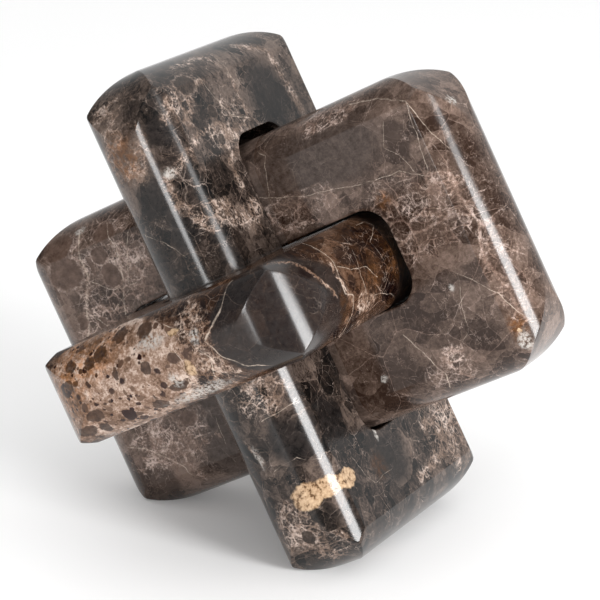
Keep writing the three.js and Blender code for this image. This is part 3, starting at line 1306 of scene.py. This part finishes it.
LOOKS = {"closed_slab": CLOSED_LOOK, "key_slab": KEY_LOOK, "gate_slab": GATE_LOOK}
STONES = {node: marble(node + "_marble", PLACES[node][0], look) for node, look in LOOKS.items()}
print({name: len(stone.node_tree.nodes) for name, stone in STONES.items()})

# %% [markdown]
# ## Cutting the slabs
#
# Each slab is an empty mesh with the tree as its modifier. The tree is evaluated once, its result
# becomes a plain mesh, and the modifier goes away, so what rides on the frame is an ordinary mesh
# with its place in its points.

# %% Make a slab


def set_input(modifier, name, value):
    for item in modifier.node_group.interface.items_tree:
        if item.in_out == "INPUT" and item.name == name:
            modifier[item.identifier] = value


def make_slab(node, place, shift, has_channel, stone):
    mesh = bpy.data.meshes.new(node + "_stone")
    piece = bpy.data.objects.new(node + "_stone", mesh)
    scene.collection.objects.link(piece)
    modifier = piece.modifiers.new("slab", "NODES")
    modifier.node_group = slab_rule
    set_input(modifier, "Slot Shift", shift)
    set_input(modifier, "Has Channel", has_channel)
    set_input(modifier, "Stone", stone)
    depsgraph = bpy.context.evaluated_depsgraph_get()
    made = bpy.data.meshes.new_from_object(piece.evaluated_get(depsgraph))
    piece.modifiers.clear()
    piece.data = made
    made.transform(place)
    return piece


for node, (place, shift, has_channel, body) in PLACES.items():
    piece = make_slab(node, place, shift, has_channel, STONES[node])
    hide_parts(node)
    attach(piece, body)
    corners = [Vector(corner) for corner in piece.bound_box]
    low = [min(corner[axis] for corner in corners) for axis in range(3)]
    high = [max(corner[axis] for corner in corners) for axis in range(3)]
    cad_low, cad_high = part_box(node)
    off = max(abs(a - b) for a, b in zip(low + high, list(cad_low) + list(cad_high)))
    count = sum(len(face.vertices) - 2 for face in piece.data.polygons)
    print(node, count, "triangles, off the frame by", round(off / MM, 3), "mm")

# %% [markdown]
# ## Camera
#
# The camera stands where the photographer stood, to the right and a little above. Its view was
# fitted to the corners of the slots, in the knot's own frame, so it is stated there: turned to the
# right, tilted down a little and rolled by most of the lean. In the world it is almost level.

# %% Camera
# The fit was made in units of a third of the slab's width, and in pixels of the square frame
UNIT = SLAB["Width"] / 3
turn, tilt, roll = (math.radians(value) for value in (31.267, 2.698, 24.513))
distance = 28.155 * UNIT
focal_pixels = 2917.565
centre_pixels = (292.491, 292.126)
FRAME_PIXELS = 600

forward = Vector(
    (-math.sin(turn) * math.cos(tilt), math.cos(turn) * math.cos(tilt), -math.sin(tilt))
)
level = Vector((math.cos(turn), math.sin(turn), 0))
upward = level.cross(forward)
right = level * math.cos(roll) - upward * math.sin(roll)
upward = level * math.sin(roll) + upward * math.cos(roll)
stand = Matrix((right, upward, -forward)).transposed().to_4x4()

camera_data = bpy.data.cameras.new("camera")
camera = bpy.data.objects.new("camera", camera_data)
scene.collection.objects.link(camera)
camera.matrix_world = desk @ Matrix.Translation(-forward * distance) @ stand
camera_data.sensor_fit = "HORIZONTAL"
camera_data.sensor_width = 36.0
camera_data.lens = focal_pixels / FRAME_PIXELS * camera_data.sensor_width
camera_data.shift_x = 0.5 - centre_pixels[0] / FRAME_PIXELS
camera_data.shift_y = centre_pixels[1] / FRAME_PIXELS - 0.5
camera_data.clip_end = 50
scene.camera = camera
print("camera at", tuple(round(value, 3) for value in camera.matrix_world.translation))

# %% [markdown]
# ## Light
#
# Polished stone shows the studio in its edges, so the lights are placed by what mirrors them. The
# object stands on a plain pale floor, which also fills in soft white light from below.

# %% Floor
SPREAD = 4.0
FLOOR_WHITE, FLOOR_ROUGHNESS, FLOOR_SHINE, FLOOR_GLOW = 0.86, 0.9, 0.1, 0.1
WHITE = (1, 1, 1, 1)
floor_mesh = bpy.data.meshes.new("floor")
floor_mesh.from_pydata(
    [(-SPREAD, -SPREAD, 0), (SPREAD, -SPREAD, 0), (SPREAD, SPREAD, 0), (-SPREAD, SPREAD, 0)],
    [],
    [(0, 1, 2, 3)],
)
floor = bpy.data.objects.new("floor", floor_mesh)
scene.collection.objects.link(floor)
floor_paint = bpy.data.materials.new("floor_paint")
floor_paint.use_nodes = True
floor_shader = floor_paint.node_tree.nodes["Principled BSDF"]
floor_shader.inputs["Base Color"].default_value = (FLOOR_WHITE, FLOOR_WHITE, FLOOR_WHITE, 1)
floor_shader.inputs["Roughness"].default_value = FLOOR_ROUGHNESS
floor_shader.inputs["Specular IOR Level"].default_value = FLOOR_SHINE
floor_shader.inputs["Emission Color"].default_value = WHITE
floor_shader.inputs["Emission Strength"].default_value = FLOOR_GLOW
floor_mesh.materials.append(floor_paint)
print("floor:", 2 * SPREAD, "m square")

# %% [markdown]
# The long bright line down each bowed edge is one upright strip light, far to the right. The
# thinner line beside it is a second one, left of the camera. The gate slab's crease turns a little
# on its way up and would lose that line, so a small high strip carries it on to the slab's top.
# Azimuth runs from the front to the right and elevation upwards, in degrees, and every lamp faces
# the knot's middle.

# %% Lamps


def direction(azimuth, elevation):
    around, rise = math.radians(azimuth), math.radians(elevation)
    return Vector(
        (math.sin(around) * math.cos(rise), -math.cos(around) * math.cos(rise), math.sin(rise))
    )


def strip_light(name, azimuth, elevation, away, size, brightness):
    data = bpy.data.lights.new(name, "AREA")
    data.shape = "RECTANGLE"
    data.size, data.size_y = size
    data.energy = brightness * math.pi * size[0] * size[1]
    lamp = bpy.data.objects.new(name, data)
    scene.collection.objects.link(lamp)
    way = direction(azimuth, elevation)
    turned = (-way).to_track_quat("-Z", "Y").to_matrix().to_4x4()
    lamp.matrix_world = Matrix.Translation(knot_middle + way * away) @ turned
    return lamp


strip_light("right_strip", azimuth=71, elevation=15, away=1.1, size=(0.36, 0.42), brightness=28.0)
strip_light("high_strip", azimuth=70, elevation=28.5, away=1.1, size=(0.18, 0.12), brightness=9.0)
strip_light("left_strip", azimuth=3, elevation=6, away=1.2, size=(0.19, 0.24), brightness=19.0)

overhead = bpy.data.lights.new("overhead", "SUN")
overhead.energy = 1.9
overhead.angle = math.radians(110)
overhead_lamp = bpy.data.objects.new("overhead", overhead)
scene.collection.objects.link(overhead_lamp)
overhead_lamp.rotation_euler = (math.radians(12), 0, math.radians(10))
print("lights:", [lamp.name for lamp in bpy.data.lights])

# %% [markdown]
# The rest is soft: the wide light overhead and a dim room. The room is dark in front, or its
# reflection would veil the dark stone, and lighter behind, where it gives the top edges their
# pale rims. The camera itself sees plain white behind the object.

# %% The room
ROOM_FRONT, ROOM_BACK = 0.22, 0.75

world = bpy.data.worlds.new("studio")
scene.world = world
world.use_nodes = True
room = Field(world.node_tree)
sky = room.node("ShaderNodeTexCoord")
depth = room.node("ShaderNodeSeparateXYZ", values={0: sky}, output=1)
behind = ease(depth, 0.1, 0.9, start=ROOM_FRONT, end=ROOM_BACK)
straight = room.node("ShaderNodeLightPath")
strength = behind * (1.0 - straight) + straight
backdrop = world.node_tree.nodes["Background"]
backdrop.inputs["Color"].default_value = WHITE
world.node_tree.links.new(strength.socket, backdrop.inputs["Strength"])
scene.view_settings.view_transform = "Standard"
print("room:", ROOM_FRONT, "in front,", ROOM_BACK, "behind")
